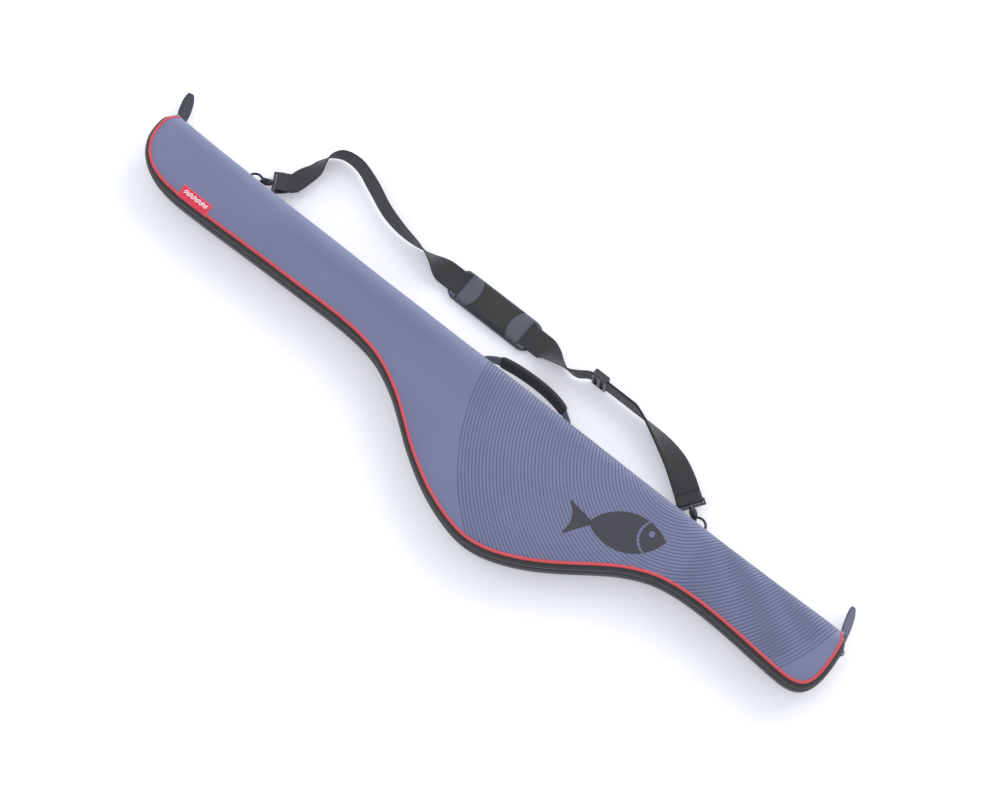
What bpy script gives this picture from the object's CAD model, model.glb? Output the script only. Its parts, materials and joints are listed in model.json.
"""The looks of the fishing-rod case: woven shell, piping, zip, lining, webbing, pad and hardware.

Every length is in metres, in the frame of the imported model: +X along the spine towards the butt end,
+Y from the belly towards the spine, +Z up. The case lies on its back.
"""

import json
import math

import bmesh
import bpy
import numpy as np
from mathutils import Matrix, Vector


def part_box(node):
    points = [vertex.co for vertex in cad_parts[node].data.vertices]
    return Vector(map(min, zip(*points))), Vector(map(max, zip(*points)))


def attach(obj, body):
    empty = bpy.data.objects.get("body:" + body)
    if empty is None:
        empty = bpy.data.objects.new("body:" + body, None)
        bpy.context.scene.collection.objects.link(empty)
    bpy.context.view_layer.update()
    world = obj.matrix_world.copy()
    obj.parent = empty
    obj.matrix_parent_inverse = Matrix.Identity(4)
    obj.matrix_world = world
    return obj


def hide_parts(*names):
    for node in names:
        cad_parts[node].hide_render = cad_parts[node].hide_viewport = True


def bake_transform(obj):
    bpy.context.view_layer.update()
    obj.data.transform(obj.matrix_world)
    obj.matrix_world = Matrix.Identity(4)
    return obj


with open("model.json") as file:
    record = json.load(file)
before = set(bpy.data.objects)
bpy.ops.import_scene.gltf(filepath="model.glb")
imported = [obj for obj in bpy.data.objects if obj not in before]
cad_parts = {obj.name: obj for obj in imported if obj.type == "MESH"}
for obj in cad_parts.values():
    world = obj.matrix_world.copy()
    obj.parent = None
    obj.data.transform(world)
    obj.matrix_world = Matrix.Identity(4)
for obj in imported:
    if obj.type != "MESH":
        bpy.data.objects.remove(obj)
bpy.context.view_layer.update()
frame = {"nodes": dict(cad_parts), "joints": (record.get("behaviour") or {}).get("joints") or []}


def joint(name):
    """The frame's record of a joint."""
    return next(j for j in frame["joints"] if j["name"] == name)


def span(name, axis):
    """The lowest and highest value of a node along an axis."""
    low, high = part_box(name)
    return getattr(low, axis), getattr(high, axis)


# ---- measures read from the frame
SPINE_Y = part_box("spine_cover")[1].y
PIPING_Z = sum(span("lid_piping", "z")) / 2
BACK_PIPING_Z = sum(span("back_piping", "z")) / 2
BACK_TAPE = span("back_zip_tape", "z")
LID_TAPE = span("lid_zip_tape", "z")
FLOOR_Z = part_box("rod_strap_tip")[0].z

# ---- measures of the soft shell
PIPING_R = 0.0023
BACK_PIPING_R = 0.0022
WALL_T = 0.0024  # thickness of the padded gusset
CREST_OUT = 0.0068  # the gusset's fullest line lies this far outside the piping line
CROWN = 0.0072  # rise of the padded front above the piping
CROWN_REACH = 0.020  # how far from the piping most of that rise is reached
EDGE_Z = PIPING_Z + 0.0006
ROLL_Y = 0.021  # half width of the rounded spine edge
ROLL_Z = 0.017  # its height
ROLL_START = SPINE_Y - ROLL_Y
CORNER = 0.0150  # radius with which the piping turns in to the spine
FLARE = 0.0050  # the spine stands out by this much at both ends
FLARE_FROM = 0.40  # this far from the middle of the case it starts
CASE_HALF = 0.615

# ---- sewing
STITCH_LENGTH = 0.0026
STITCH_GAP = 0.0012
THREAD_R = 0.00028
THREAD_LIFT = 0.0001
THREAD_SIDES = 5


# ---- meshes ----------------------------------------------------------------------------------------


def node_points(name):
    """The corners of a CAD node, each once."""
    mesh = frame["nodes"][name].data
    flat = np.empty(len(mesh.vertices) * 3)
    mesh.vertices.foreach_get("co", flat)
    return np.unique(flat.reshape(-1, 3).round(6), axis=0)


def lengths(line):
    """The distance along a line at each of its points."""
    return np.r_[0, np.cumsum(np.linalg.norm(np.diff(line, axis=0), axis=1))]


def resample(line, step):
    """The line with points an equal distance apart, close to step."""
    at = lengths(line)
    even = np.linspace(0, at[-1], max(2, round(at[-1] / step) + 1))
    return np.stack([np.interp(even, at, column) for column in line.T], 1)


def smooth(points, steps=8):
    """A smooth curve through the points; values after the third, such as a tilt, come along."""
    points = np.array(points, float)
    padded = np.vstack([2 * points[0] - points[1], points, 2 * points[-1] - points[-2]])
    run = []
    for i in range(1, len(padded) - 2):
        a, b, c, d = padded[i - 1 : i + 3]
        ab, bc, cd = (math.sqrt(np.linalg.norm((q - p)[:3])) for p, q in ((a, b), (b, c), (c, d)))
        leave = ((b - a) / ab - (c - a) / (ab + bc) + (c - b) / bc) * bc
        arrive = ((c - b) / bc - (d - b) / (bc + cd) + (d - c) / cd) * bc
        for t in np.arange(steps) / steps:
            run.append(
                (2 * t**3 - 3 * t**2 + 1) * b + (t**3 - 2 * t**2 + t) * leave
                + (3 * t**2 - 2 * t**3) * c + (t**3 - t**2) * arrive
            )
    run.append(padded[-2])
    return np.array(run)


def offset(line, out):
    """A line in plan moved to its right, which is outwards on the case."""
    tangent = np.gradient(line, axis=0)
    tangent /= np.linalg.norm(tangent, axis=1)[:, None]
    return line + np.stack([tangent[:, 1], -tangent[:, 0]], 1) * np.reshape(out, (-1, 1))


def ease(value, low, high):
    """0 below low, 1 above high, smooth between."""
    t = np.clip((value - low) / (high - low), 0, 1)
    return t * t * (3 - 2 * t)


def flared(points):
    """The case's plan stands out along the spine near both ends."""
    points = np.array(points, float)
    end = np.clip((abs(points[..., 0]) - FLARE_FROM) / (CASE_HALF - FLARE_FROM), 0, 1.05)
    points[..., 1] += FLARE * end**2 * ease(points[..., 1], -0.02, 0.045)
    return points


def circle(sides):
    """Angles an equal step apart round a circle."""
    return np.arange(sides) * 2 * math.pi / sides


def show(name, mesh, finish, body=None, replaces=()):
    """Links a mesh as a piece of the case."""
    mesh.name = name
    piece = bpy.data.objects.new(name, mesh)
    bpy.context.scene.collection.objects.link(piece)
    mesh.materials.append(FINISHES[finish])
    if body:
        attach(piece, body)
    if replaces:
        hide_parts(*replaces)
    return piece


def mesh_of(points, faces, uvs=None):
    """A smooth mesh from arrays; uvs holds a pair for each corner of each face, in order."""
    mesh = bpy.data.meshes.new("piece")
    mesh.from_pydata(np.asarray(points).tolist(), [], [list(f) for f in faces])
    if uvs is not None:
        layer = mesh.uv_layers.new(name="UVMap")
        layer.data.foreach_set("uv", np.asarray(uvs, float).ravel())
    bm = bmesh.new()
    bm.from_mesh(mesh)
    bmesh.ops.recalc_face_normals(bm, faces=bm.faces)
    bm.to_mesh(mesh)
    bm.free()
    mesh.shade_smooth()
    return mesh


def loft(grid, uv=None):
    """A capped skin over rows of points; each row is a closed section."""
    rows, cols = grid.shape[:2]
    if uv is None:
        along = np.r_[0, np.cumsum(np.linalg.norm(np.diff(grid, axis=0), axis=2).mean(1))]
        around = np.linalg.norm(np.roll(grid, -1, axis=1) - grid, axis=2).mean(0)
        around = np.r_[0, np.cumsum(around)]
        uv = np.stack(np.meshgrid(along, around, indexing="ij"), 2)
    i, j = np.meshgrid(np.arange(rows - 1), np.arange(cols), indexing="ij")
    i, j = i.ravel(), j.ravel()
    corners = [(i, j), (i + 1, j), (i + 1, j + 1), (i, j + 1)]
    faces = np.stack([a * cols + b % cols for a, b in corners], 1).tolist()
    uvs = np.stack([uv[a, np.minimum(b, uv.shape[1] - 1)] for a, b in corners], 1).reshape(-1, 2)
    faces += [list(range(cols)), list(range((rows - 1) * cols, rows * cols))]
    uvs = np.vstack([uvs, uv[0, :cols], uv[-1, :cols]])
    return mesh_of(grid.reshape(-1, 3), faces, uvs)


def thick_sheet(outer, depth, uv):
    """A cloth or board of some thickness, from the grid of its outer face."""
    inner = sunk(outer, depth)
    return loft(np.concatenate([outer, inner[:, ::-1]], 1), np.concatenate([uv, uv[:, ::-1]], 1))


def sunk(grid, depth):
    """The grid moved against its normals."""
    across = np.gradient(grid, axis=1)
    along = np.gradient(grid, axis=0)
    normal = np.cross(along, across)
    size = np.linalg.norm(normal, axis=2, keepdims=True)
    weak = size[..., 0] < 1e-12
    normal = normal / np.maximum(size, 1e-12)
    normal[weak] = (0, 0, 1)
    return grid - normal * depth


def ribbon(route, section, tilt=None, across=None):
    """A section of (across, face) points carried along a route; tilt turns it on edge, in radians."""
    route = np.asarray(route)
    tangent = np.gradient(route, axis=0)
    tangent /= np.linalg.norm(tangent, axis=1)[:, None]
    if across is None:
        right = np.cross(tangent, (0, 0, 1))
        right /= np.linalg.norm(right, axis=1)[:, None]
        above = np.cross(right, tangent)
        tilt = np.zeros(len(route)) if tilt is None else tilt
        side = np.cos(tilt)[:, None] * right - np.sin(tilt)[:, None] * above
        face = np.sin(tilt)[:, None] * right + np.cos(tilt)[:, None] * above
    else:
        side = np.broadcast_to(np.array(across, float), route.shape)
        face = np.cross(side, tangent)
    section = np.asarray(section)
    grid = route[:, None] + side[:, None] * section[:, :1] + face[:, None] * section[:, 1:]
    return loft(grid)


def flat_section(width, thickness, crown=0.0, sides=10):
    """A webbing section with rounded edges, fuller in the middle by crown."""
    half, r = width / 2, thickness / 2
    xs = np.linspace(-half + r, half - r, sides)
    top = [(x, r + crown * (1 - (x / half) ** 2)) for x in xs]
    right = [(half - r + r * math.cos(a), r * math.sin(a)) for a in np.radians((45, 0, -45))]
    return np.array(top + right + [(-x, -y) for x, y in top] + [(-x, -y) for x, y in right])


def ring_section(radius, sides=14):
    """A round section."""
    turns = circle(sides)
    return np.stack([radius * np.cos(turns), radius * np.sin(turns)], 1)


def stitches(route, normals):
    """A row of short raised threads along a route on a surface with these normals."""
    at = lengths(route)
    pitch = STITCH_LENGTH + STITCH_GAP
    count = int((at[-1] - STITCH_GAP) // pitch)
    turns = circle(THREAD_SIDES)
    shares = np.array([0, 0.12, 0.5, 0.88, 1.0])
    sink = np.array([-0.5, 0.5, 1.0, 0.5, -0.5]) * THREAD_R + THREAD_LIFT
    size = np.array([0.5, 0.95, 1.0, 0.95, 0.5]) * THREAD_R
    points, faces = [], []
    for k in range(count):
        marks = (at[-1] - count * pitch) / 2 + k * pitch + STITCH_LENGTH * shares
        spine = np.stack([np.interp(marks, at, c) for c in route.T], 1)
        up = np.stack([np.interp(marks, at, c) for c in normals.T], 1)
        run = spine[-1] - spine[0]
        run /= np.linalg.norm(run)
        side = np.cross(run, up)
        ring = (
            spine[:, None] + up[:, None] * sink[:, None, None]
            + side[:, None] * (np.cos(turns)[None, :, None] * size[:, None, None])
            + up[:, None] * (np.sin(turns)[None, :, None] * size[:, None, None])
        )
        first = len(points)
        points += ring.reshape(-1, 3).tolist()
        last = first + (len(shares) - 1) * THREAD_SIDES
        for base in range(first, last, THREAD_SIDES):
            for b in range(THREAD_SIDES):
                c = (b + 1) % THREAD_SIDES
                faces.append([base + b, base + c, base + THREAD_SIDES + c, base + THREAD_SIDES + b])
        faces.append([first + b for b in range(THREAD_SIDES)])
        faces.append([last + b for b in range(THREAD_SIDES)])
    return mesh_of(points, faces)


# ---- the case's outline ----------------------------------------------------------------------------


def outline_from_frame():
    """The piping line in plan, from the spine corner at the tip, round the belly, to the butt."""
    points = node_points("lid_gusset")
    crest_z = np.unique(points[:, 2].round(4))[2]
    crest = points[abs(points[:, 2] - crest_z) < 0.0001][:, :2]
    around = np.arctan2(crest[:, 1] - SPINE_Y, crest[:, 0])
    crest = crest[np.argsort(around)]
    line = resample(offset(smooth(crest), -CREST_OUT), 0.002)
    t = np.clip((line[:, 1] - (line[0, 1] - CORNER)) / CORNER, 0, 0.96)
    inwards = CORNER * 0.75 * (1 - np.sqrt(1 - t * t)) * (abs(line[:, 0]) > 0.5)
    line[:, 0] -= np.sign(line[:, 0]) * inwards
    return resample(line, 0.004)


OUTLINE = outline_from_frame()
FINE_OUTLINE = resample(smooth(OUTLINE[::3], 6), 0.00045)


def drop_of(y):
    """How far the front's edge has come down where it rolls over the spine."""
    t = np.clip((y - ROLL_START) / ROLL_Y, 0, 0.97)
    return ROLL_Z * (1 - np.sqrt(1 - t * t))


def fullness(line):
    """How far a band still stands out where it runs in under the spine's edge."""
    return 1 - 0.80 * ease(line[:, 1], SPINE_Y - 0.022, SPINE_Y - 0.002)


def band_rows(line, profile, lowered=None, tucked=True):
    """Points of a band round the case: profile holds (outwards, height) pairs.

    lowered says how much of the spine edge's drop each pair takes, from 0 to 1. A tucked band
    narrows beside the spine and stays under the cloth.
    """
    drop = drop_of(line[:, 1])
    rows = []
    for k, (out, z) in enumerate(profile):
        share = 0.0 if lowered is None else lowered[k]
        height = z - drop * share
        if tucked:
            plan = offset(line, out * fullness(line))
            height = np.minimum(height, PIPING_Z - 0.0010 - drop - 0.00004 * k)
        else:
            plan = offset(line, out)
        rows.append(np.column_stack([plan, height]))
    return flared(np.stack(rows, 1))


# ---- materials -------------------------------------------------------------------------------------


class Finish:
    """A material's node tree, with short calls for the nodes that the finishes use."""

    def __init__(self, name, roughness, metallic=0.0, **constants):
        self.material = bpy.data.materials.new(name)
        self.material.use_nodes = True
        self.tree = self.material.node_tree
        self.shader = self.tree.nodes["Principled BSDF"]
        self.shader.inputs["Roughness"].default_value = roughness
        self.shader.inputs["Metallic"].default_value = metallic
        for key, value in constants.items():
            self.shader.inputs[key.replace("_", " ")].default_value = value

    def feed(self, socket, value):
        if isinstance(value, bpy.types.NodeSocket):
            self.tree.links.new(value, socket)
        else:
            socket.default_value = value

    def node(self, kind, **settings):
        made = self.tree.nodes.new(f"ShaderNode{kind}")
        for key, value in settings.items():
            setattr(made, key, value)
        return made

    def math(self, operation, *values):
        made = self.node("Math", operation=operation)
        for socket, value in zip(made.inputs, values):
            self.feed(socket, value)
        return made.outputs[0]

    def times(self, a, b):
        return self.math("MULTIPLY", a, b)

    def plus(self, a, b):
        return self.math("ADD", a, b)

    def less(self, a, b):
        return self.math("SUBTRACT", a, b)

    def most(self, a, b):
        return self.math("MAXIMUM", a, b)

    def wave(self, at, pitch):
        """A sine wave along a distance."""
        return self.math("SINE", self.times(at, 2 * math.pi / pitch))

    def apart(self, u, v, centre):
        """The distance from a centre."""
        dx, dy = self.less(u, centre[0]), self.less(v, centre[1])
        return self.math("SQRT", self.plus(self.times(dx, dx), self.times(dy, dy)))

    def off(self, value, level):
        """How far a value is from a level, either way."""
        return self.math("ABSOLUTE", self.less(value, level))

    def step(self, value, low, high):
        """0 at low and 1 at high, smooth between; low may be the larger."""
        made = self.node("MapRange", interpolation_type="SMOOTHSTEP")
        self.feed(made.inputs["Value"], value)
        made.inputs["From Min"].default_value = low
        made.inputs["From Max"].default_value = high
        return made.outputs["Result"]

    def noise(self, scale, detail=2.0, roughness=0.5):
        made = self.node("TexNoise")
        made.inputs["Scale"].default_value = scale
        made.inputs["Detail"].default_value = detail
        made.inputs["Roughness"].default_value = roughness
        self.feed(made.inputs["Vector"], self.node("TexCoord").outputs["Object"])
        return made.outputs["Fac"]

    def uv(self):
        """Distances along and across the cloth, in metres."""
        made = self.node("SeparateXYZ")
        self.feed(made.inputs[0], self.node("TexCoord").outputs["UV"])
        return made.outputs[0], made.outputs[1]

    def mix(self, factor, a, b):
        made = self.node("Mix", data_type="RGBA")
        self.feed(made.inputs["Factor"], factor)
        for socket, value in zip(made.inputs[6:8], (a, b)):
            self.paint(socket, value)
        return made.outputs[2]

    def paint(self, socket, value):
        """Feeds a colour socket with a node's output or with red, green and blue."""
        self.feed(socket, value if isinstance(value, bpy.types.NodeSocket) else (*value, 1))

    def tinted(self, colour, other, amount):
        """One colour that wanders towards another with slow and fine noise."""
        slow = self.noise(9, 3)
        fine = self.times(self.noise(420, 2), 0.3)
        spread = self.math("MULTIPLY_ADD", slow, 0.7, fine)
        return self.mix(self.times(self.step(spread, 0.3, 0.7), amount), colour, other)

    def colour(self, value):
        self.paint(self.shader.inputs["Base Color"], value)

    def bump(self, height, distance, strength):
        made = self.node("Bump")
        made.inputs["Strength"].default_value = strength
        made.inputs["Distance"].default_value = distance
        self.feed(made.inputs["Height"], height)
        self.feed(self.shader.inputs["Normal"], made.outputs["Normal"])

    def weave(self, pitch):
        """The over-and-under of a plain weave, from 0 to 1."""
        u, v = self.uv()
        warp = self.wave(u, pitch)
        weft = self.wave(v, pitch)
        return self.math("MULTIPLY_ADD", self.times(warp, weft), 0.5, 0.5)


def shade(colour, factor):
    return tuple(c * factor for c in colour)


def cloth_finish(name, colour, pitch, roughness=0.75, sheen=0.15):
    """Woven cloth: uneven colour, darker between the yarns, with the weave raised."""
    f = Finish(name, roughness, Sheen_Weight=sheen, Sheen_Roughness=0.5, Specular_IOR_Level=0.3)
    weave = f.weave(pitch)
    base = f.tinted(colour, shade(colour, 1.25), 0.8)
    f.colour(f.mix(f.step(weave, 0.45, 0.1), base, shade(colour, 0.6)))
    f.bump(weave, 0.0003, 0.6)
    return f.material


# Where the print lies on the front: (x, developed y). The ripples are circles about their centres.
RIPPLE_CENTRE = (0.305, 0.091)
RIPPLE_OUT = 0.327
RIPPLE_END = 0.300
RIPPLE_PITCH = 0.0049
CROSS_CENTRE = (0.262, 0.140)
FISH_CENTRE = (0.284, -0.034)
FISH_TURN = math.radians(24)
PRINT_SOFT = 0.0006  # half the width over which the ink's edge fades


def ripples(f, u, v, centre, low, high):
    """Thin printed lines on circles about a centre, between two radii, from 0 to 1."""
    radius = f.apart(u, v, centre)
    wave = f.math("COSINE", f.times(radius, 2 * math.pi / RIPPLE_PITCH))
    line = f.step(wave, 0.05, 0.75)
    inside = f.times(f.step(radius, high + 0.0004, high - 0.0004), f.step(radius, low - 0.02, low))
    return f.times(line, inside)


def disc(f, x, y, centre, radius):
    """1 inside a circle, 0 outside."""
    return f.step(f.apart(x, y, centre), radius + PRINT_SOFT, radius - PRINT_SOFT)


def fish(f, u, v):
    """A plain fish drawn from circles and a wedge: 1 where it is inked."""
    dx, dy = f.less(u, FISH_CENTRE[0]), f.less(v, FISH_CENTRE[1])
    c, s = math.cos(FISH_TURN), math.sin(FISH_TURN)
    x = f.plus(f.times(dx, c), f.times(dy, s))
    y = f.less(f.times(dy, c), f.times(dx, s))
    length, height = 0.056, 0.029
    bow = (length**2 + height**2) / (2 * height)
    upper = disc(f, x, y, (0.008, height - bow), bow)
    lower = disc(f, x, y, (0.008, bow - height), bow)
    body = f.times(upper, lower)
    flank = f.plus(f.math("ABSOLUTE", y), f.times(x, 0.62))
    wedge = f.times(f.step(flank, -0.0235, -0.0247), f.step(x, -0.0795, -0.0785))
    notch = disc(f, x, y, (-0.106, 0), 0.034)
    tail = f.times(wedge, f.less(1, notch))
    eye = disc(f, x, y, (0.042, 0.0065), 0.0042)
    gill_r = 0.0275
    gill = f.times(disc(f, x, y, (0.050, 0), gill_r), f.less(1, disc(f, x, y, (0.0535, 0), gill_r)))
    holes = f.most(eye, gill)
    return f.times(f.most(body, tail), f.less(1, holes))


def front_finish():
    """Blue-grey shell fabric with the dark print."""
    grey, light, ink = (0.193, 0.204, 0.345), (0.222, 0.238, 0.385), (0.100, 0.108, 0.190)
    dark = (0.046, 0.045, 0.052)
    f = Finish("front_fabric", 0.62, Sheen_Weight=0.25, Sheen_Roughness=0.45, Specular_IOR_Level=0.35)
    u, v = f.uv()
    weave = f.weave(0.0011)
    base = f.tinted(grey, light, 0.6)
    base = f.mix(f.times(f.step(weave, 0.45, 0.1), 0.35), base, shade(grey, 0.7))
    worn = f.times(f.step(v, ROLL_START - 0.002, ROLL_START + 0.022), 0.42)
    base = f.mix(worn, base, (0.300, 0.335, 0.500))
    crease = f.times(f.step(v, -0.050, -0.012), f.step(v, 0.030, 0.006))
    crease = f.times(crease, f.times(f.step(u, -0.52, -0.30), f.step(u, 0.10, -0.04)))
    base = f.mix(f.times(crease, 0.36), base, (0.140, 0.145, 0.225))
    belly = f.times(f.step(v, -0.015, -0.090), f.step(u, 0.30, 0.10))
    base = f.mix(f.times(belly, 0.22), base, (0.140, 0.145, 0.245))
    first = ripples(f, u, v, RIPPLE_CENTRE, 0.02, RIPPLE_OUT)
    tail_end = f.less(1, f.step(u, 0.45, 0.46))
    near_end = f.times(ripples(f, u, v, RIPPLE_CENTRE, 0.02, RIPPLE_END), f.step(u, 0.45, 0.46))
    lines = f.most(f.times(first, tail_end), near_end)
    cross = f.times(ripples(f, u, v, CROSS_CENTRE, 0.15, 0.345), f.step(u, 0.375, 0.39))
    lines = f.most(lines, f.times(cross, 0.8))
    printed = f.mix(f.times(lines, 0.9), base, ink)
    mark = fish(f, u, v)
    f.colour(f.mix(f.times(mark, 0.94), printed, dark))
    f.bump(weave, 0.00035, 0.5)
    return f.material


def plastic_finish(name, colour, roughness, coat=0.0, metallic=0.0):
    """Moulded or lacquered: a fine grain, and scuffs that are rougher and lighter."""
    f = Finish(name, roughness, metallic, Coat_Weight=coat, Coat_Roughness=0.25, Specular_IOR_Level=0.5)
    scuff = f.step(f.noise(160, 4, roughness=0.7), 0.52, 0.75)
    f.colour(f.mix(f.times(scuff, 0.5), colour, tuple(c + 0.03 for c in colour)))
    f.feed(f.shader.inputs["Roughness"], f.math("MULTIPLY_ADD", scuff, 0.2, roughness))
    f.bump(f.noise(900, 2), 0.00006, 0.5)
    return f.material


def webbing_finish(name, colour, rib=0.0014):
    """Webbing: slanting yarns across the band, and two flat selvedges."""
    f = Finish(name, 0.7, Sheen_Weight=0.2, Sheen_Roughness=0.4, Specular_IOR_Level=0.35)
    u, v = f.uv()
    zig = f.off(f.math("FRACT", f.math("DIVIDE", v, 0.0064)), 0.5)
    slant = f.math("MULTIPLY_ADD", zig, 0.0036, u)
    rib_wave = f.wave(slant, rib)
    height = f.math("MULTIPLY_ADD", rib_wave, 0.5, 0.5)
    base = f.tinted(colour, shade(colour, 1.5), 0.8)
    f.colour(f.mix(f.step(height, 0.5, 0.05), base, shade(colour, 0.5)))
    f.bump(height, 0.0004, 0.7)
    return f.material


def foam_finish(name, colour, ribs=0.0):
    """Foam rubber or board: a fine open grain, with ribs across it where asked."""
    f = Finish(name, 0.6, Specular_IOR_Level=0.4)
    f.colour(f.tinted(colour, shade(colour, 1.35), 0.9))
    grain = f.noise(1500, 2)
    if ribs:
        made = f.node("SeparateXYZ")
        f.feed(made.inputs[0], f.node("TexCoord").outputs["Object"])
        wave = f.wave(made.outputs[0], ribs)
        grain = f.math("MULTIPLY_ADD", f.step(wave, -0.3, 0.3), 2.0, grain)
    f.bump(grain, 0.0002, 0.45)
    return f.material


def piping_finish(name, colour):
    """Coated piping: a smooth skin over a cord whose strands just show."""
    f = Finish(name, 0.42, Coat_Weight=0.15, Coat_Roughness=0.3, Specular_IOR_Level=0.5)
    u, v = f.uv()
    slant = f.plus(u, f.times(v, 0.6))
    strand = f.wave(slant, 0.0022)
    f.colour(f.tinted(colour, shade(colour, 1.25), 0.7))
    f.bump(f.math("MULTIPLY_ADD", strand, 0.5, 0.5), 0.00015, 0.5)
    return f.material


def label_finish():
    """A woven red label: a lighter border and three plain pale waves."""
    red, pale_red, white = (0.74, 0.035, 0.075), (0.80, 0.16, 0.20), (0.86, 0.84, 0.86)
    f = Finish("label_fabric", 0.6, Sheen_Weight=0.2, Specular_IOR_Level=0.4)
    u, v = f.uv()
    weave = f.weave(0.0005)
    edge = f.most(f.step(f.off(u, 0.5), 0.478, 0.482), f.step(f.off(v, 0.5), 0.44, 0.46))
    swing = f.times(f.math("SINE", f.times(u, 2 * math.pi * 7)), 0.045)
    waves = None
    for level in (0.60, 0.74):
        away = f.off(f.less(v, swing), level)
        line = f.step(away, 0.046, 0.034)
        waves = line if waves is None else f.most(waves, line)
    middle = f.step(f.off(u, 0.5), 0.40, 0.39)
    base = f.mix(edge, f.tinted(red, shade(red, 1.2), 0.5), pale_red)
    f.colour(f.mix(f.times(waves, middle), base, white))
    f.bump(weave, 0.0002, 0.4)
    return f.material


BLACK = (0.036, 0.036, 0.038)
FINISHES = {
    "front": front_finish(),
    "black_fabric": cloth_finish("black_fabric", BLACK, 0.0011, sheen=0.3),
    "black_piping": piping_finish("black_piping", (0.022, 0.022, 0.024)),
    "red_piping": piping_finish("red_piping", (0.62, 0.052, 0.068)),
    "zip_tape": cloth_finish("zip_tape", (0.026, 0.026, 0.028), 0.0007, sheen=0.25),
    "zip_coil": plastic_finish("zip_coil", (0.030, 0.030, 0.033), 0.4),
    "lining": cloth_finish("lining", (0.055, 0.057, 0.066), 0.0016, roughness=0.9, sheen=0.5),
    "binding": webbing_finish("binding", (0.030, 0.030, 0.033), 0.0009),
    "board": foam_finish("foam_board", (0.06, 0.06, 0.07)),
    "webbing": webbing_finish("webbing", (0.040, 0.041, 0.042)),
    "handle_grey": webbing_finish("handle_grey", (0.210, 0.208, 0.262), 0.0012),
    "grip": cloth_finish("handle_grip", (0.036, 0.036, 0.036), 0.0013, roughness=0.6),
    "sleeve": cloth_finish("sleeve_fabric", (0.042, 0.043, 0.043), 0.0012, roughness=0.75),
    "tab": cloth_finish("tab_fabric", (0.072, 0.074, 0.092), 0.0010),
    "tab_light": cloth_finish("loop_fabric", (0.165, 0.162, 0.235), 0.0010),
    "pad": foam_finish("pad_grey", (0.084, 0.087, 0.108)),
    "pad_backing": foam_finish("pad_backing", (0.03, 0.03, 0.032), ribs=0.004),
    "plastic": plastic_finish("moulded_plastic", (0.026, 0.026, 0.030), 0.33, coat=0.2),
    "metal": plastic_finish("ring_metal", (0.05, 0.05, 0.055), 0.32, metallic=0.8),
    "thread": cloth_finish("thread", (0.05, 0.05, 0.055), 0.0003, roughness=0.6),
    "grey_thread": cloth_finish("grey_thread", (0.17, 0.18, 0.27), 0.0003, roughness=0.6),
    "label": label_finish(),
}


# ---- the front and the spine ------------------------------------------------------------------------


def to_piping(points):
    """The shortest distance in plan from each point to the piping line."""
    start, end = OUTLINE[:-1], OUTLINE[1:]
    run = end - start
    flat = points.reshape(-1, 2)
    best = np.full(len(flat), 9.0)
    for a, r in zip(start, run):
        t = np.clip(((flat - a) @ r) / (r @ r), 0, 1)
        best = np.minimum(best, np.linalg.norm(flat - a - t[:, None] * r, axis=1))
    return best.reshape(points.shape[:-1])


def front_height(x, y):
    """Height of the front before it rolls over the spine."""
    away = to_piping(np.stack([x, y], -1))
    z = EDGE_Z + CROWN * (1 - np.exp(-away / CROWN_REACH))
    along = ease(x, -0.40, -0.27) * (1 - ease(x, -0.16, -0.05))
    hollow = np.exp(-(((y - 0.004) / 0.017) ** 2))
    z -= 0.0042 * along * hollow * ease(away, 0.0, 0.02)
    z += 0.0012 * np.sin(x * 13 + 0.6) * ease(away, 0.0, 0.05)
    z += 0.0006 * np.sin(x * 41 + y * 30) * ease(away, 0.0, 0.03)
    return z


def fan(inset, end, rows, cols):
    """A grid in (x, developed y) between the piping line and a line along the spine."""
    line = resample(offset(OUTLINE, -inset), lengths(OUTLINE)[-1] / rows)
    at = lengths(line)
    total = at[-1]
    reach = 0.20
    first, last = np.searchsorted(at, reach), np.searchsorted(at, total - reach)
    spine_x = line[:, 0].copy()
    spine_x[:first] = np.interp(at[:first], [0, at[first]], [line[0, 0], line[first, 0]])
    spine_x[last:] = np.interp(at[last:], [at[last], total], [line[last, 0], line[-1, 0]])
    t = np.clip((line[:, 1] - ROLL_START) / ROLL_Y, 0, 0.97)
    edge_y = np.where(t > 0, ROLL_START + roll_length(np.arcsin(t)), line[:, 1])
    w = np.linspace(0, 1, cols)
    w = (w + 0.6 * w**2) / 1.6
    x = line[:, :1] + (spine_x[:, None] - line[:, :1]) * w
    return x, edge_y[:, None] + (end - edge_y[:, None]) * w


ROLL_STEPS = np.linspace(0, math.pi / 2, 60)
ROLL_AT = lengths(np.stack([ROLL_Y * np.sin(ROLL_STEPS), ROLL_Z * np.cos(ROLL_STEPS)], 1))


def roll_length(angle):
    """Distance round the spine edge to an angle."""
    return np.interp(angle, ROLL_STEPS, ROLL_AT)


def roll_over(x, run):
    """Developed points to space: flat, then over the spine edge, then down the spine's wall."""
    past = run - ROLL_START
    angle = np.interp(past, ROLL_AT, ROLL_STEPS)
    y = np.where(past > 0, ROLL_START + ROLL_Y * np.sin(angle), run)
    z = front_height(x, np.minimum(y, SPINE_Y)) - np.where(past > 0, ROLL_Z * (1 - np.cos(angle)), 0)
    down = np.maximum(past - ROLL_AT[-1], 0)
    return y, z, down


def wall_bulge(z):
    """How far the gusset stands outside the piping line at a height."""
    heights = [0.004, 0.018, 0.032, 0.045, 0.066, 0.075]
    return np.interp(z, heights, [0.0, 0.0052, 0.0080, 0.0088, 0.0086, 0.001])


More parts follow.
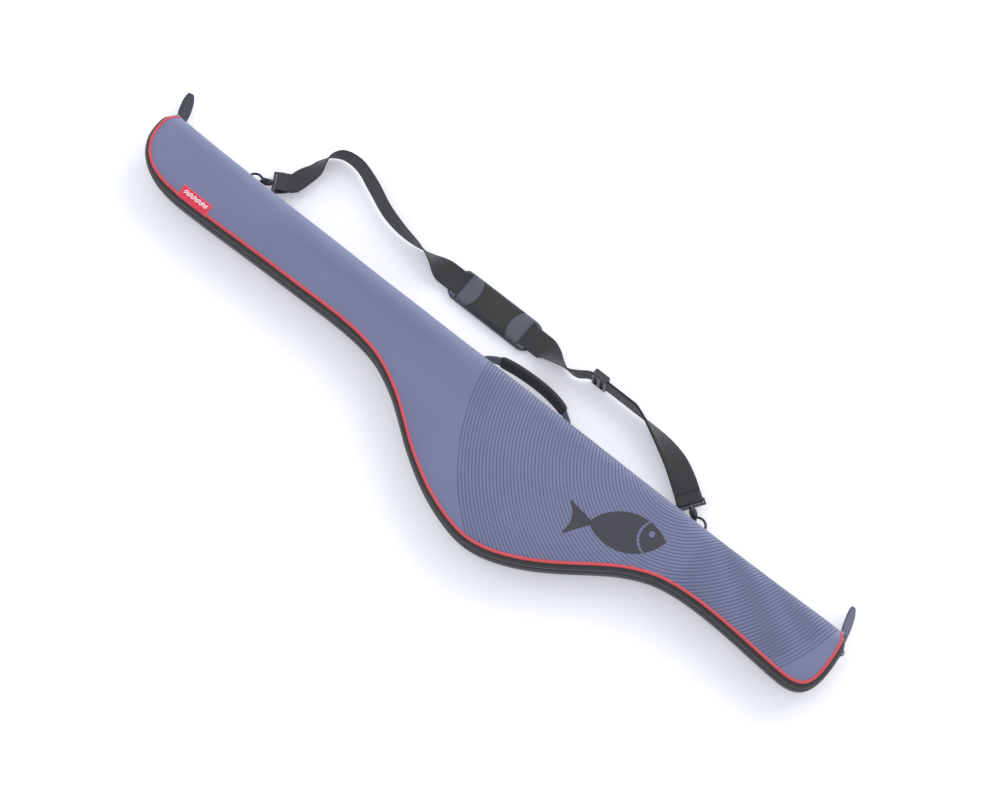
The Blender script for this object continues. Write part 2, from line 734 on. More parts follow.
def shell():
    """The grey cloth: over the front, round the spine and down to its lower edge, as one piece."""
    wall_top = EDGE_Z + CROWN - ROLL_Z
    foot = 0.0022
    end = ROLL_START + ROLL_AT[-1] + wall_top - foot
    x, run = fan(0.0006, end, 300, 72)
    y, z, down = roll_over(x, run)
    z = z - down
    low = foot + 0.0009
    turn = np.clip((low + 0.0022 - z) / 0.0030, 0, 1)
    y = y - 0.0026 * (1 - np.sqrt(1 - turn**2))
    z = np.maximum(z, low - 0.0022 * turn)
    wall = ease(down, -0.001, 0.006)
    x = x + np.sign(x) * wall_bulge(z) * wall * ease(abs(x), 0.52, 0.61)
    y = y + 0.0004 * np.sin(x * 55 + z * 40) * wall
    outer = flared(np.stack([x, y, z], -1))
    mesh = thick_sheet(outer, 0.0010, np.stack([x, run], -1))
    piece = show("shell_cloth", mesh, "front",
                 replaces=("lid_cover", "spine_hinge", "spine_cover"))
    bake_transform(piece)


def lid_inside():
    """The lid's stiff board and its lining, under the cover."""
    x, run = fan(0.0042, ROLL_START + ROLL_AT[-1] + 0.006, 200, 36)
    clear = slice(4, -4)  # the rows at each end that would show at the corners
    x, run = x[clear], run[clear]
    y, z, down = roll_over(x, run)
    skin = flared(np.stack([x, y, z - down], -1))
    uv = np.stack([x, run], -1)
    board = thick_sheet(sunk(skin, 0.0016), 0.0036, uv)
    show("lid_board", board, "board", "lid", ("lid_panel", "lid_spine_board"))
    lining = thick_sheet(sunk(skin, 0.0056), 0.0009, uv)
    show("lid_lining_cloth", lining, "lining", "lid", ("lid_lining",))


# ---- bands round the case --------------------------------------------------------------------------


def piping(name, height, radius, body, finish, lowered):
    """A cord of piping along the outline."""
    section = ring_section(radius)
    profile = [(out, height + up) for out, up in section]
    grid = band_rows(OUTLINE, profile, [lowered] * len(section), tucked=False)
    node = {"lid": "lid_piping", "base": "back_piping"}[body]
    show(name, loft(grid), finish, body, (node,))


def gusset_walls():
    """The padded bands between the piping and the zip, with a seam line beside each tape."""
    back_low, back_high = BACK_PIPING_Z + 0.0012, BACK_TAPE[0] + 0.0010
    back = [(-0.0006, back_low), (0.0022, 0.0100), (0.0048, 0.0180), (0.0068, 0.0270),
            (0.0080, 0.0360), (0.0086, back_high - 0.0035), (0.0078, back_high - 0.0012),
            (0.0074, back_high)]
    back += [(out - WALL_T, z) for out, z in reversed(back)]
    show("back_wall", loft(band_rows(OUTLINE, back)), "black_fabric",
         "base", ("back_gusset",))
    top = PIPING_Z - 0.0012
    low = LID_TAPE[1] - 0.0010
    lid = [(0.0074, low), (0.0078, low + 0.0008), (0.0086, low + 0.0018), (0.0078, low + 0.0038),
           (0.0052, low + 0.0062), (0.0018, top), (-0.0006, top), (0.0028, low + 0.0055), (0.0054, low)]
    share = [0, 0, 0.1, 0.4, 0.75, 1, 1, 0.7, 0]
    show("lid_wall", loft(band_rows(OUTLINE, lid, share)), "black_fabric",
         "lid", ("lid_gusset",))
    for name, body, out, z in (("back_wall_stitch", "base", 0.0083, back_high - 0.0024),
                               ("lid_wall_stitch", "lid", 0.0083, low + 0.0013)):
        row = band_rows(OUTLINE, [(out, z)])[:, 0]
        out_way = np.column_stack([offset(OUTLINE, 1.0) - OUTLINE, np.zeros(len(OUTLINE))])
        show(name, stitches(row[3:-3], out_way[3:-3]), "thread", body)


def zip_halves():
    """Tapes with their coils: each coil's turns are swellings of its bead."""
    for name, body, (low, high), side in (
        ("back_zip", "base", BACK_TAPE, 1), ("lid_zip", "lid", LID_TAPE, -1),
    ):
        edge, root = (high, low) if side > 0 else (low, high)
        tape_edge = edge - side * 0.0006
        tape = [(0.0070, root), (0.0074, root + side * 0.003), (0.0076, tape_edge),
                (0.0066, tape_edge), (0.0064, root + side * 0.003), (0.0060, root)]
        mesh = loft(band_rows(OUTLINE, tape))
        show(f"{name}_cloth", mesh, "zip_tape", body, (f"{name}_tape",))
        turn = np.sin(lengths(FINE_OUTLINE) * 2 * math.pi / 0.0018)
        size = 1 + 0.16 * turn
        centre = edge - side * 0.0011
        section = ring_section(1.0, 8)
        top = PIPING_Z - 0.0030 - drop_of(FINE_OUTLINE[:, 1])
        middle = np.minimum(centre, top)
        full = fullness(FINE_OUTLINE)
        flat = [
            np.column_stack([offset(FINE_OUTLINE, (0.0080 + 0.0011 * a * size) * full),
                             middle + side * 0.0003 * turn + 0.0013 * b * size])
            for a, b in section
        ]
        coil = loft(flared(np.stack(flat, 1)))
        show(f"{name}_coil", coil, "zip_coil", body)


# ---- the back half ---------------------------------------------------------------------------------


def back_skin():
    """The black cloth that the case lies on, turned up to the piping at its rim."""
    x, y = fan(0.0006, SPINE_Y - 0.0030, 240, 30)
    away = to_piping(np.stack([x, y], -1))
    z = (BACK_PIPING_Z - 0.0010) * np.exp(-away / 0.0022) * (away < 0.05)
    bottom = flared(np.stack([x, y, z], -1))
    raised = bottom + (0, 0, 0.0012)
    uv = np.stack([x, y], -1)
    grid = np.concatenate([bottom, raised[:, ::-1]], 1)
    mesh = loft(grid, np.concatenate([uv, uv[:, ::-1]], 1))
    show("back_cloth", mesh, "black_fabric", "base", ("back_cover",))


def back_inside():
    """The lining: a floor, a wall up to the zip tape, and the spine's inner face."""
    x, y = fan(0.0052, SPINE_Y - 0.0062, 200, 30)
    away = to_piping(np.stack([x, y], -1))
    z = FLOOR_Z - 0.0010 + 0.0030 * np.exp(-(away - 0.0052) / 0.004)
    top = flared(np.stack([x, y, z], -1))
    uv = np.stack([x, y], -1)
    floor = thick_sheet(top, 0.0008, uv)
    show("floor_lining", floor, "lining", "base", ("back_lining",))
    high = BACK_TAPE[0] + 0.0020
    wall = [(-0.0046, 0.0072), (-0.0040, 0.0160), (-0.0006, 0.0300), (0.0040, high),
            (0.0048, high), (0.0002, 0.0300), (-0.0032, 0.0160), (-0.0038, 0.0072)]
    show("wall_lining", loft(band_rows(OUTLINE, wall)), "lining", "base")
    section = [(-0.0004, 0.0072), (-0.0004, high), (-0.0012, high), (-0.0012, 0.0072)]
    grid = np.array([[(x, SPINE_Y - 0.0050 + a, b) for a, b in section]
                     for x in np.linspace(-0.6085, 0.6085, 160)])
    show("spine_lining", loft(flared(grid)), "lining", "base")


def spine_board():
    """The stiff strip inside the spine, with ends that are rounded to stay inside the cloth."""
    low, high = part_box("spine_board")
    cut = 0.0006  # its edges are broken by this much
    xs = resample(np.array([(low.x + 0.0140, 0.0), (high.x - 0.0140, 0.0)]), 0.006)[:, 0]
    grid = []
    for x in xs:
        short = min(x - xs[0], xs[-1] - x)
        top = high.z - 0.0120 * (1 - ease(short, 0.0, 0.018))
        section = [(low.y, low.z + cut), (low.y + cut, low.z), (high.y - cut, low.z), (high.y, low.z + cut),
                   (high.y, top - cut), (high.y - cut, top), (low.y + cut, top), (low.y, top - cut)]
        grid.append([(x, y, z) for y, z in section])
    show("spine_stiffener", loft(np.array(grid)), "board", "base",
         ("spine_board",))


def rod_straps():
    """Two straps with their tails folded back, over the rods."""
    for end in ("tip", "butt"):
        low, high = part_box(f"rod_strap_{end}")
        x = (low.x + high.x) / 2
        half = (high.y - low.y) / 2 - 0.0010
        rise = [(-half, low.z + 0.0006), (-half * 0.93, low.z + 0.006), (-half * 0.72, low.z + 0.0160)]
        fall = [(-y, z) for y, z in reversed(rise)]
        route = smooth([(x, y, z) for y, z in [*rise, (0, high.z - 0.0012), *fall]], 6)
        band = ribbon(route, flat_section(high.x - low.x, 0.0018), across=(-1, 0, 0))
        show(f"rod_band_{end}", band, "webbing", "base", (f"rod_strap_{end}",))
        patch = [p + (0, 0, 0.0016) for p in route[16:30]]
        narrow = flat_section((high.x - low.x) * 0.8, 0.0014)
        tail = ribbon(patch, narrow, across=(-1, 0, 0))
        show(f"rod_band_tail_{end}", tail, "lining", "base")


def tip_pocket():
    """A sheet of lining across the narrow end, with a bound mouth."""
    low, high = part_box("tip_pocket")
    line = offset(OUTLINE, -0.0062)
    rim = line[(line[:, 0] < high.x) & (line[:, 1] < high.y)]
    rows = len(rim)
    mouth = np.column_stack([np.full(rows, high.x), np.linspace(high.y, rim[-1, 1], rows)])
    w = np.linspace(0, 1, 26)[None, :, None]
    plan = rim[:, None] * (1 - w) + mouth[:, None] * w
    rise = 0.00168 * np.sin(np.pi * w[..., 0]) * ease(plan[..., 1], -0.035, 0.0)
    z = (low.z + high.z) / 2 + rise
    top = flared(np.concatenate([plan, z[..., None]], -1))
    mesh = thick_sheet(top, 0.0010, plan)
    cloth = show("pocket_cloth", mesh, "lining", "base", ("tip_pocket",))
    edge = top[:, -1] + (0.0006, 0, -0.0004)
    bind = ribbon(edge[::2], ring_section(0.0016, 10), across=(1, 0, 0))
    binding = show("pocket_binding", bind, "binding", "base")


# ---- fittings on the case --------------------------------------------------------------------------


def label():
    """The woven label, from the front over the piping to the wall."""
    low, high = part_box("label")
    xs = np.linspace(low.x, high.x, 40)
    edge_y = np.interp(xs, OUTLINE[:, 0][30:120], OUTLINE[:, 1][30:120])
    over_r = PIPING_R + 0.0006  # it lies this far from the middle of the piping
    rows = []
    for x, edge in zip(xs, edge_y):
        run = []
        for t in np.linspace(0, 1, 14):
            y = high.y + (edge + 0.0024 - high.y) * t
            run.append((x, y, front_height(np.array(x), np.array(y)) + 0.0007))
        for angle in np.radians(np.linspace(70, -35, 8)):
            run.append((x, edge - over_r * math.cos(angle), PIPING_Z + over_r * math.sin(angle)))
        rows.append(run)
    grid = flared(np.array(rows, float))
    u, v = np.meshgrid(np.linspace(0, 1, len(xs)), np.linspace(1, 0, grid.shape[1]), indexing="ij")
    mesh = thick_sheet(grid, -0.0005, np.stack([u, v], -1))
    show("woven_label", mesh, "label", "lid", ("label",))


def tabs():
    """A folded leaf of cloth at each end of the spine, with a stitched border."""
    for end, finish in (("tip", "tab"), ("butt", "tab_light")):
        points = node_points(f"{end}_tab")
        centre = points.mean(0)
        flat = points - centre
        axes = np.linalg.svd(flat, full_matrices=False)[2]
        along, across, thin = axes
        along = along * np.sign(along[1])
        reach, half = abs(flat @ along).max(), abs(flat @ across).max()
        thick = abs(flat @ thin).max()
        outline = []
        for t in np.linspace(0, 1, 20):
            wide = half * np.interp(t, (0, 0.15, 0.45, 0.75, 0.93, 1), (0.62, 0.80, 1, 0.92, 0.66, 0.44))
            outline.append((-reach + 2 * reach * t, wide))

        def at(a, b, height, share=1.0):
            """A point of the leaf, which curls a little along its length; share draws it in."""
            curl = 0.0016 * math.sin(a / reach * 1.6)
            return centre + along * (a * share) + across * b + thin * (curl + height)

        grid = []
        for a, wide in outline:
            b = np.linspace(-1, 1, 13)
            puff = thick * 0.85 * (1 - b**6) * (0.75 + 0.25 * (1 - b**2))
            top = [at(a, wide * q, h) for q, h in zip(b, puff)]
            low = [at(a, wide * q, -h) for q, h in zip(b, puff)]
            grid.append(top + low[::-1][1:-1])
        name = f"{end}_tab_leaf"
        show(name, loft(np.array(grid)), finish, "base", (f"{end}_tab",))
        border = [(a, wide * 0.80) for a, wide in outline]
        border += [(a, -b) for a, b in reversed(border)]
        for side, letter in ((1, "a"), (-1, "b")):
            route = np.array([at(a, b, side * thick * 0.78, 0.93) for a, b in border])
            normals = np.tile(thin * side, (len(route), 1))
            row = f"{end}_tab_stitch_{letter}"
            show(row, stitches(route, normals), "thread", "base")


def ring_loops():
    """A short fold of webbing sewn to the spine, holding each ring's straight bar."""
    for end in ("tip", "butt"):
        low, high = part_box(f"{end}_ring_loop")
        x = (low.x + high.x) / 2
        z = (low.z + high.z) / 2
        bar_y = high.y - 0.0042
        wall = SPINE_Y + 0.0014
        r = 0.0031
        route = [(x, wall, z + 0.016), (x, wall, z + 0.008), (x, wall + 0.0010, z + 0.0050)]
        for a in np.radians((80, 40, 0, -40, -80)):
            route.append((x, bar_y + r * math.cos(a), z + r * math.sin(a)))
        route += [(x, wall + 0.0010, z - 0.0050), (x, wall, z - 0.008), (x, wall, z - 0.0145)]
        section = flat_section(high.x - low.x, 0.0014)
        mesh = ribbon(smooth(route, 5), section, across=(1, 0, 0))
        show(f"{end}_loop_band", mesh, "tab_light", "base", (f"{end}_ring_loop",))


GRIP_TALL = 0.0215
HANDLE_ROUTE = [  # x, y of the band's middle line, and how far its top leans outwards, in degrees
    (-0.0440, 0.0480, 0), (-0.0370, 0.0530, 4), (-0.0270, 0.0600, 14), (-0.0130, 0.0662, 26),
    (0.0090, 0.0705, 30), (0.0330, 0.0725, 30), (0.0570, 0.0728, 30), (0.0790, 0.0710, 30),
    (0.0990, 0.0665, 26), (0.1150, 0.0590, 14), (0.1260, 0.0525, 4), (0.1330, 0.0480, 0),
]


def handle():
    """The carry handle: a band that spreads where it is sewn down, and a padded grip."""
    low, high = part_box("handle_end_tip")
    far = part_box("handle_end_butt")[1].x
    z, width = (low.z + high.z) / 2, (high.z - low.z) * 0.80
    wall = SPINE_Y + 0.0018
    plan = [(low.x, wall, 0), (-0.0520, wall, 0), *HANDLE_ROUTE, (0.1410, wall, 0), (far, wall, 0)]
    route = resample(smooth([(x, y, z, lean) for x, y, lean in plan], 6), 0.0025)
    lean = np.radians(route[:, 3])
    route = route[:, :3]
    mesh = ribbon(route, flat_section(width, 0.0024), tilt=math.pi / 2 - lean)
    band = show("handle_band", mesh, "handle_grey",
                replaces=("handle_webbing", "handle_end_tip", "handle_end_butt"))
    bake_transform(band)

    grip_low, grip_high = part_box("handle_grip")
    keep = (route[:, 0] > grip_low.x + 0.002) & (route[:, 0] < grip_high.x - 0.002)
    held, turned = route[keep], lean[keep]
    tangent = np.gradient(held, axis=0)
    tangent /= np.linalg.norm(tangent, axis=1)[:, None]
    inward = np.cross(tangent, (0, 0, 1))
    up = np.cos(turned)[:, None] * np.array((0, 0, 1)) - np.sin(turned)[:, None] * inward
    out = -(np.cos(turned)[:, None] * inward + np.sin(turned)[:, None] * np.array((0, 0, 1)))
    at = lengths(held) / lengths(held)[-1]
    turns = circle(28)
    wide = np.sign(np.cos(turns)) * abs(np.cos(turns)) ** 0.8
    tall = np.sign(np.sin(turns)) * abs(np.sin(turns)) ** 0.7
    grid = []
    for p, o, u, t in zip(held, out, up, at):
        full = min(1.0, min(t, 1 - t) / 0.05 + 0.02) ** 0.35
        a, b = 0.0046 * full * wide, GRIP_TALL / 2 * (0.9 + 0.1 * full) * tall
        grid.append(p + np.outer(a, o) + np.outer(b, u))
    mesh = loft(np.array(grid))
    grip = show("grip_wrap", mesh, "grip", "handle", ("handle_grip",))
    inner = slice(3, -3)
    for level, k in ((0.30, "upper"), (-0.30, "lower")):
        for side, face in ((1, "outer"), (-1, "inner")):
            row = held + side * out * 0.0041 + up * GRIP_TALL * level
            name = f"grip_stitch_{k}_{face}"
            show(name, stitches(row[inner], side * out[inner]), "thread", "handle")


# ---- the shoulder strap ----------------------------------------------------------------------------

PAD_Y = sum(span("pad_base", "y")) / 2
PAD_WEB_Z = 0.0125  # height of the webbing where it crosses the pad
ADJUSTER_Y = 0.1312
ADJUSTER_Z = 0.0245
STRAP_ROUTE = [  # x, y, z, and how far the webbing is turned on edge, in degrees
    (-0.4200, 0.1030, 0.0185, -25), (-0.4140, 0.1200, 0.0195, -36), (-0.4130, 0.1370, 0.0208, -54),
    (-0.4090, 0.1530, 0.0215, -74), (-0.3950, 0.1665, 0.0218, -92), (-0.3680, 0.1695, 0.0215, -104),
    (-0.3310, 0.1575, 0.0210, -112), (-0.2870, 0.1390, 0.0210, -109), (-0.2480, 0.1305, 0.0212, -99),
    (-0.2120, 0.1280, 0.0207, -80), (-0.1890, 0.1260, 0.0177, -52), (-0.1750, 0.1242, 0.0144, -22),
    (-0.1660, PAD_Y, PAD_WEB_Z, -3), (-0.1600, PAD_Y, PAD_WEB_Z, 0), (-0.1500, PAD_Y, PAD_WEB_Z, 0),
    (0.0070, PAD_Y, PAD_WEB_Z, 0), (0.0170, PAD_Y, PAD_WEB_Z, 0), (0.0230, PAD_Y, PAD_WEB_Z, -3),
    (0.0320, 0.1222, 0.0145, -22),
    (0.0450, 0.1190, 0.0180, -48), (0.0610, 0.1165, 0.0212, -70), (0.0750, 0.1167, 0.0236, -82),
    (0.0870, 0.1210, ADJUSTER_Z, -90), (0.0960, 0.1275, ADJUSTER_Z, -90),
    (0.1030, ADJUSTER_Y - 0.0003, ADJUSTER_Z, -90), (0.1090, ADJUSTER_Y, ADJUSTER_Z, -90),
    (0.1750, ADJUSTER_Y, ADJUSTER_Z, -90), (0.1810, ADJUSTER_Y - 0.0002, ADJUSTER_Z, -90),
    (0.1990, 0.1280, 0.0240, -80), (0.2180, 0.1238, 0.0228, -66), (0.2480, 0.1160, 0.0208, -42),
    (0.2750, 0.1060, 0.0195, -22), (0.2975, 0.0935, 0.0185, -7),
]
SWIVEL_ROLL = {"tip": 25, "butt": 0}  # how far each swivel has turned on its hook, in degrees
WEB_W = 0.038
WEB_T = 0.0016
LOOP_TAIL = 0.0125
BAR_BACK = 0.0100  # from the pin that a hook swivels on to the bar that holds the webbing


def hook_frame(end):
    """The webbing bar of a swivel: its place, the direction of pull, across, and up."""
    swivel = joint(f"{end}_hook_swivel")
    pull = Vector(swivel["axis"]).normalized()
    turn = Matrix.Rotation(math.radians(SWIVEL_ROLL[end]), 3, pull)
    across, up = turn @ Vector((0, 0, 1)).cross(pull), turn @ Vector((0, 0, 1))
    bar = Vector(swivel["pos_m"]) - pull * BAR_BACK
    return [np.array(v) for v in (bar, pull, across, up)]


def strap():
    """The long band of webbing, the layer that returns from the adjuster, and the sewn loops."""
    leads = {}
    for end in ("tip", "butt"):
        bar, pull = hook_frame(end)[:2]
        leads[end] = [(*(bar - pull * (LOOP_TAIL + gone)), -SWIVEL_ROLL[end])
                      for gone in (-0.004, 0.0040, 0.0100)]
    route = resample(smooth(leads["tip"] + STRAP_ROUTE + leads["butt"][::-1], 10), 0.003)
    tilt = np.radians(route[:, 3])
    section = flat_section(WEB_W, WEB_T)
    band = ribbon(route[:, :3], section, tilt)
    show("strap_band", band, "webbing", "strap", ("strap_webbing",))
    keep = route[:, 0] > sum(span("adjuster", "x")) / 2
    raised = [(a, b + 0.0022) for a, b in section]
    back = ribbon(route[keep, :3][:-2], raised, tilt[keep][:-2])
    show("strap_second_layer", back, "webbing", "strap", ("strap_return",))
    for end in ("tip", "butt"):
        bar, pull, across, up = hook_frame(end)
        r = 0.0036
        turns = np.radians(np.linspace(-100, 100, 11))
        path = [bar - pull * (LOOP_TAIL + 0.003) - up * 0.0010, bar - pull * 0.0060 - up * 0.0030]
        path += [bar + pull * r * math.cos(a) + up * r * math.sin(a) for a in turns]
        path += [bar - pull * 0.0060 + up * 0.0030, bar - pull * (LOOP_TAIL + 0.003) + up * 0.0012,
                 bar - pull * (LOOP_TAIL + 0.020) + up * 0.0016]
        name = f"{end}_sewn_loop"
        mesh = ribbon(smooth(path, 3), flat_section(WEB_W, 0.0015), across=across)
        show(name, mesh, "webbing", "strap", (f"{end}_webbing_loop",))
        box_low, box_high = LOOP_TAIL + 0.003, LOOP_TAIL + 0.018
        corners = [(box_low, -0.8), (box_high, -0.8), (box_high, 0.8), (box_low, 0.8), (box_low, -0.8),
                   (box_high, 0.8), (box_high, -0.8), (box_low, 0.8)]
        line = np.array([bar - pull * a + across * b * WEB_W / 2 + up * 0.0024 for a, b in corners])
        route_box = resample(line, 0.001)
        normals = np.tile(up, (len(route_box), 1))
        row = f"{end}_loop_stitch"
        show(row, stitches(route_box, normals), "thread", "strap")


def rounded(centre, half_l, half_w, corner, steps=10):
    """A rounded rectangle in plan, anticlockwise."""
    points = []
    for sx, sy, start in ((1, 1, 0), (-1, 1, 90), (-1, -1, 180), (1, -1, 270)):
        for a in np.radians(np.linspace(start, start + 90, steps)):
            points.append((centre[0] + sx * (half_l - corner) + corner * math.cos(a),
                           centre[1] + sy * (half_w - corner) + corner * math.sin(a)))
    return np.array(points)


def shoulder_pad():
    """Moulded pad: a lower lip, a raised body over the webbing, a dark patch, and a ribbed backing."""
    low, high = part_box("pad_base")
    centre = ((low.x + high.x) / 2, (low.y + high.y) / 2)
    half_l, half_w = (high.x - low.x) / 2, (high.y - low.y) / 2

    def ring(inset, z, shorter=0.0):
        corner = max(0.021 - inset, 0.004)
        plan = rounded(centre, half_l - inset - shorter, half_w - inset, corner, 14)
        waist = 0.07 * (1 - ((plan[:, 0] - centre[0]) / half_l) ** 2)
        plan[:, 1] -= (plan[:, 1] - centre[1]) * waist
        return np.column_stack([plan, np.full(len(plan), z)])

    lip = [ring(inset, low.z + up) for inset, up in
           ((0.0060, 0.0), (0.0016, 0.0006), (0.0, 0.0026), (0.0008, 0.0044))]
    lip += [ring(inset, high.z - down) for inset, down in
            ((0.0032, 0.0006), (0.0060, 0.0), (0.0120, 0.0002))]
    base = show("pad_body", loft(np.array(lip)), "pad", "pad", ("pad_base",))
    sleeve_low, sleeve_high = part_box("pad_sleeve")
    over = sleeve_high.z
    throat = half_l - 0.0170  # how far from the middle the webbing goes in under the bridge
    rings = []
    for inset, z in ((0.0030, high.z - 0.0004), (0.0032, high.z + 0.0014), (0.0046, over - 0.0014),
                     (0.0072, over - 0.0002), (0.0120, over + 0.0004)):
        plan = rounded(centre, throat - inset * 0.5, half_w - inset, 0.0060, 14)
        away = (plan[:, 1] - centre[1]) / half_w
        from_middle = plan[:, 0] - centre[0]
        arch = 0.0050 * (1 - away**2) * (abs(from_middle) > throat * 0.8)
        plan[:, 0] -= np.sign(from_middle) * arch
        rings.append(np.column_stack([plan, np.full(len(plan), z)]))
    show("pad_bridge", loft(np.array(rings)), "pad", "pad")
    rib = ((throat - 0.0040, half_w - 0.0055, over - 0.0028),
           (throat + 0.0040, half_w - 0.0058, high.z + 0.0006),
           (half_l - 0.0085, half_w - 0.0125, high.z - 0.0012))
    for way, end in ((-1, "tip"), (1, "butt")):
        for flank, edge in ((-1, "case"), (1, "outer")):
            route = smooth([(centre[0] + way * a, centre[1] + flank * b, z) for a, b, z in rib], 6)
            name = f"pad_rib_{end}_{edge}"
            show(name, ribbon(route, ring_section(0.0026, 12)), "pad", "pad")

    reach = (sleeve_high.x - sleeve_low.x) / 2
    side = (sleeve_high.y - sleeve_low.y) / 2
    rows = []
    for y in np.linspace(-side, side, 25):
        dip = 0.0080 * (1 - (y / side) ** 2)
        droop = 0.0030 * ease(abs(y), side - 0.0060, side) + 0.0003
        xs = np.linspace(-(reach - dip), reach - dip, 40)
        rows.append([(centre[0] + x, centre[1] + y, over + 0.0010 - droop) for x in xs])
    grid = np.array(rows)
    patch = thick_sheet(grid, -0.0009, grid[..., :2])
    show("pad_patch", patch, "sleeve", "pad", ("pad_sleeve",))
    edge = np.concatenate([grid[2:-2, 2], grid[-3, 2:-2], grid[2:-2, -3][::-1], grid[2, 2:-2][::-1]])
    edge = resample(edge + (0, 0, 0.0009), 0.001)
    normals = np.tile((0, 0, 1.0), (len(edge), 1))
    thread = stitches(edge, normals)
    show("pad_patch_stitch", thread, "thread", "pad")
    back_low, back_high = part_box("pad_backing")
    inner = [ring(0.0085, back_low.z + 0.0004, 0.002), ring(0.0075, back_low.z, 0.002),
             ring(0.0065, back_low.z + 0.0006, 0.002), ring(0.0065, back_high.z, 0.002)]
    backing = loft(np.array(inner))
    show("pad_grip", backing, "pad_backing", "pad", ("pad_backing",))


BARREL = (  # how far along the hook, and its half width and half height there
    (0.0002, 0.0030, 0.0030), (0.0008, 0.0048, 0.0046), (0.0030, 0.0056, 0.0050), (0.0070, 0.0058, 0.0050),
    (0.0105, 0.0052, 0.0044), (0.0125, 0.0040, 0.0034), (0.0130, 0.0024, 0.0020),
)


def hook_bodies():
    """The moulded barrel of each snap hook, where it turns in its swivel, and the gate's thumb lever."""
    for end in ("tip", "butt"):
        bar, pull, across, up = hook_frame(end)
        pin = bar + pull * BAR_BACK
        grid = []
        turns = circle(20)
        for reach, wide, tall in BARREL:
            sideways = np.outer(wide * np.cos(turns), across)
            grid.append(pin + pull * reach + sideways + np.outer(tall * np.sin(turns), up))
        name = f"{end}_hook_barrel"
        show(name, loft(np.array(grid)), "plastic", f"{end}_hook")
        low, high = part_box(f"{end}_gate")
        gate = np.array((low + high) / 2)
        away = np.array((gate[0] - pin[0], gate[1] - pin[1], 0.0))
        away /= np.linalg.norm(away)
        over = np.array((0, 0, 1.0))
        route = [gate + over * up_by + away * out_by for up_by, out_by in
                 ((0.0018, 0.0), (0.0044, -0.0010), (0.0070, 0.0010), (0.0082, 0.0042))]
        name = f"{end}_gate_lever"
        lever = ribbon(smooth(route, 5), ring_section(0.0016, 12))
        show(name, lever, "plastic", f"{end}_gate")


def sliders():
    """Low zip sliders that run on the coils, each with a bridge for its pull."""
    for end in ("tip", "butt"):
        name = f"{end}_slider"
        low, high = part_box(name)
        way = np.array(joint(f"{name}_slide")["axis"])
        out = np.array((way[1], -way[0], 0.0))
        out *= np.sign(out[0] * low.x)
        middle = np.array((low + high) / 2)
        line = OUTLINE[np.argmin(np.linalg.norm(OUTLINE - middle[:2], axis=1))]
        centre = np.array((line[0], middle[1], middle[2])) + out * 0.0090
        rings = []
        for up, thick in ((-1.0, 0.5), (-0.96, 0.8), (-0.7, 1.0), (0.7, 1.0), (0.96, 0.8), (1.0, 0.5)):
            plan = rounded((0, 0), 0.0048 - 0.0008 * (1 - thick), 0.0019 * thick, 0.0009 * thick, 5)
            rings.append([centre + way * a + out * b + np.array((0, 0, 0.0036 * up)) for a, b in plan])
        body = loft(np.array(rings))
        show(f"{name}_body", body, "metal", name, (name,))
        bridge = [centre + way * a + out * b for a, b in
                  ((-0.0032, 0.0012), (-0.0024, 0.0030), (0.0, 0.0036), (0.0024, 0.0030), (0.0032, 0.0012))]
        wire = ribbon(smooth(bridge, 4), ring_section(0.0007, 10))
        show(f"{name}_bridge", wire, "metal", name)


def pullers():
    """A short moulded pull on each slider, lying close against the end wall."""
    for end in ("tip", "butt"):
        name = f"{end}_puller"
        pin = joint(f"{name}_flip")["pos_m"]
        points = node_points(name)
        far = points[np.argmax(np.linalg.norm(points - pin, axis=1))]
        run = np.array((far[0] - pin[0], far[1] - pin[1], 0.0))
        reach = np.linalg.norm(run)
        run /= reach
        inward = np.array((-run[1], run[0], 0.0))
        inward *= -np.sign(inward[0] * pin[0])
        start = np.array(pin)
        route = [start + run * a * reach + inward * b for a, b in
                 ((0.0, 0.0046), (0.10, 0.0050), (0.30, 0.0056), (0.60, 0.0060), (0.82, 0.0058))]
        route = smooth(route, 6)
        at = lengths(route) / lengths(route)[-1]
        grid = []
        for p, t in zip(route, at):
            widths = (0.0012, 0.0018, 0.0020, 0.0032, 0.0034, 0.0020)
            wide = np.interp(t, (0, 0.04, 0.2, 0.5, 0.9, 1), widths)
            thick = np.interp(t, (0, 0.04, 0.3, 0.95, 1), (0.0004, 0.0008, 0.0011, 0.0011, 0.0006))
            turns = circle(16)
            sideways = np.outer(thick * np.cos(turns), inward)
            grid.append(p + sideways + np.outer(wide * np.sin(turns), (0, 0, 1)))
        pull = loft(np.array(grid))
        show(f"{name}_pull", pull, "plastic", name, (name,))


# ---- CAD pieces that keep their shape ---------------------------------------------------------------


def refinish():
    """Gives the CAD pieces that stay in view their finishes."""
    kept = {
        "plastic": ("tip_swivel", "butt_swivel", "tip_hook", "butt_hook", "tip_gate", "butt_gate",
                    "adjuster"),
        "metal": ("tip_ring", "butt_ring"),
        "board": ("back_panel",),
    }
    for finish, names in kept.items():
        for name in names:
            slots = frame["nodes"][name].data.materials
            for k in range(len(slots)):
                slots[k] = FINISHES[finish]


# ---- stage, light and camera -----------------------------------------------------------------------


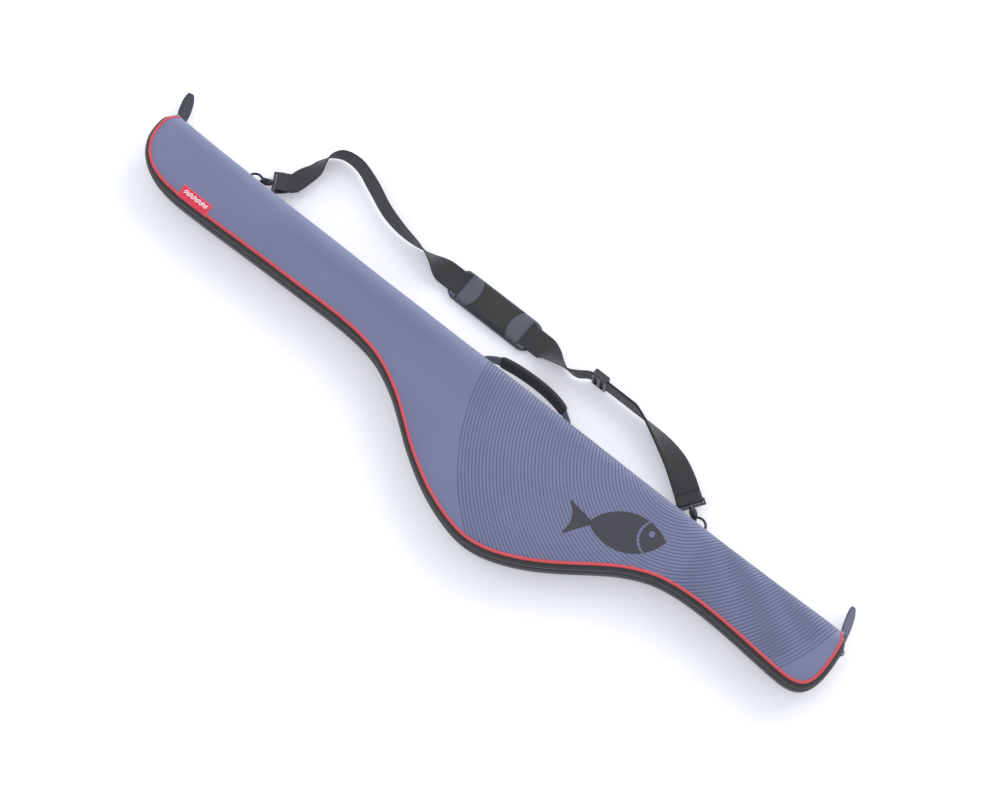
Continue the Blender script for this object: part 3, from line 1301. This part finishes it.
def stage():
    """A pale floor, soft light from behind the spine, and the camera high above the belly side."""
    scene = bpy.context.scene
    scene.view_settings.view_transform = "Standard"
    bpy.ops.mesh.primitive_plane_add(size=40, location=(0, 0, -0.0005))
    floor = bpy.context.object
    floor.name = "floor"
    paper = Finish("paper", 0.9, Specular_IOR_Level=0.1, Emission_Strength=0.24)
    paper.shader.inputs["Emission Color"].default_value = (0.90, 0.90, 1.0, 1)
    paper.colour(paper.tinted((0.90, 0.90, 0.905), (0.91, 0.91, 0.915), 1.0))
    floor.data.materials.append(paper.material)

    world = bpy.data.worlds.new("studio")
    world.use_nodes = True
    world.node_tree.nodes["Background"].inputs["Color"].default_value = (0.92, 0.94, 1.0, 1)
    world.node_tree.nodes["Background"].inputs["Strength"].default_value = 0.80
    scene.world = world
    for name, place, aim, size, power in (
        ("key", (0.5, 2.6, 2.6), (0, 0, 0), 2.6, 46),
        ("top", (-0.4, -0.4, 4.2), (0, 0, 0), 3.0, 22),
    ):
        light = bpy.data.lights.new(name, "AREA")
        light.size = size
        light.energy = power
        lamp = bpy.data.objects.new(name, light)
        lamp.location = place
        lamp.rotation_euler = (Vector(aim) - Vector(place)).to_track_quat("-Z", "Y").to_euler()
        scene.collection.objects.link(lamp)

    azimuth, elevation, distance = math.radians(39.1), math.radians(74), 3.42
    aim = Vector((0.0186, 0.0245, 0))
    back = Vector((math.sin(azimuth), -math.cos(azimuth), 0)) * math.cos(elevation)
    camera = bpy.data.objects.new("camera", bpy.data.cameras.new("camera"))
    camera.data.lens = 85
    camera.data.sensor_width = 36
    camera.location = aim + (back + Vector((0, 0, math.sin(elevation)))) * distance
    camera.rotation_euler = (aim - camera.location).to_track_quat("-Z", "Y").to_euler()
    scene.collection.objects.link(camera)
    scene.camera = camera


stage()
shell()
lid_inside()
piping("front_piping", PIPING_Z, PIPING_R, "lid", "red_piping", 1.0)
piping("rear_piping", BACK_PIPING_Z, BACK_PIPING_R, "base", "black_piping", 0.0)
gusset_walls()
zip_halves()
back_skin()
back_inside()
spine_board()
rod_straps()
tip_pocket()
label()
tabs()
ring_loops()
handle()
strap()
shoulder_pad()
hook_bodies()
sliders()
pullers()
refinish()
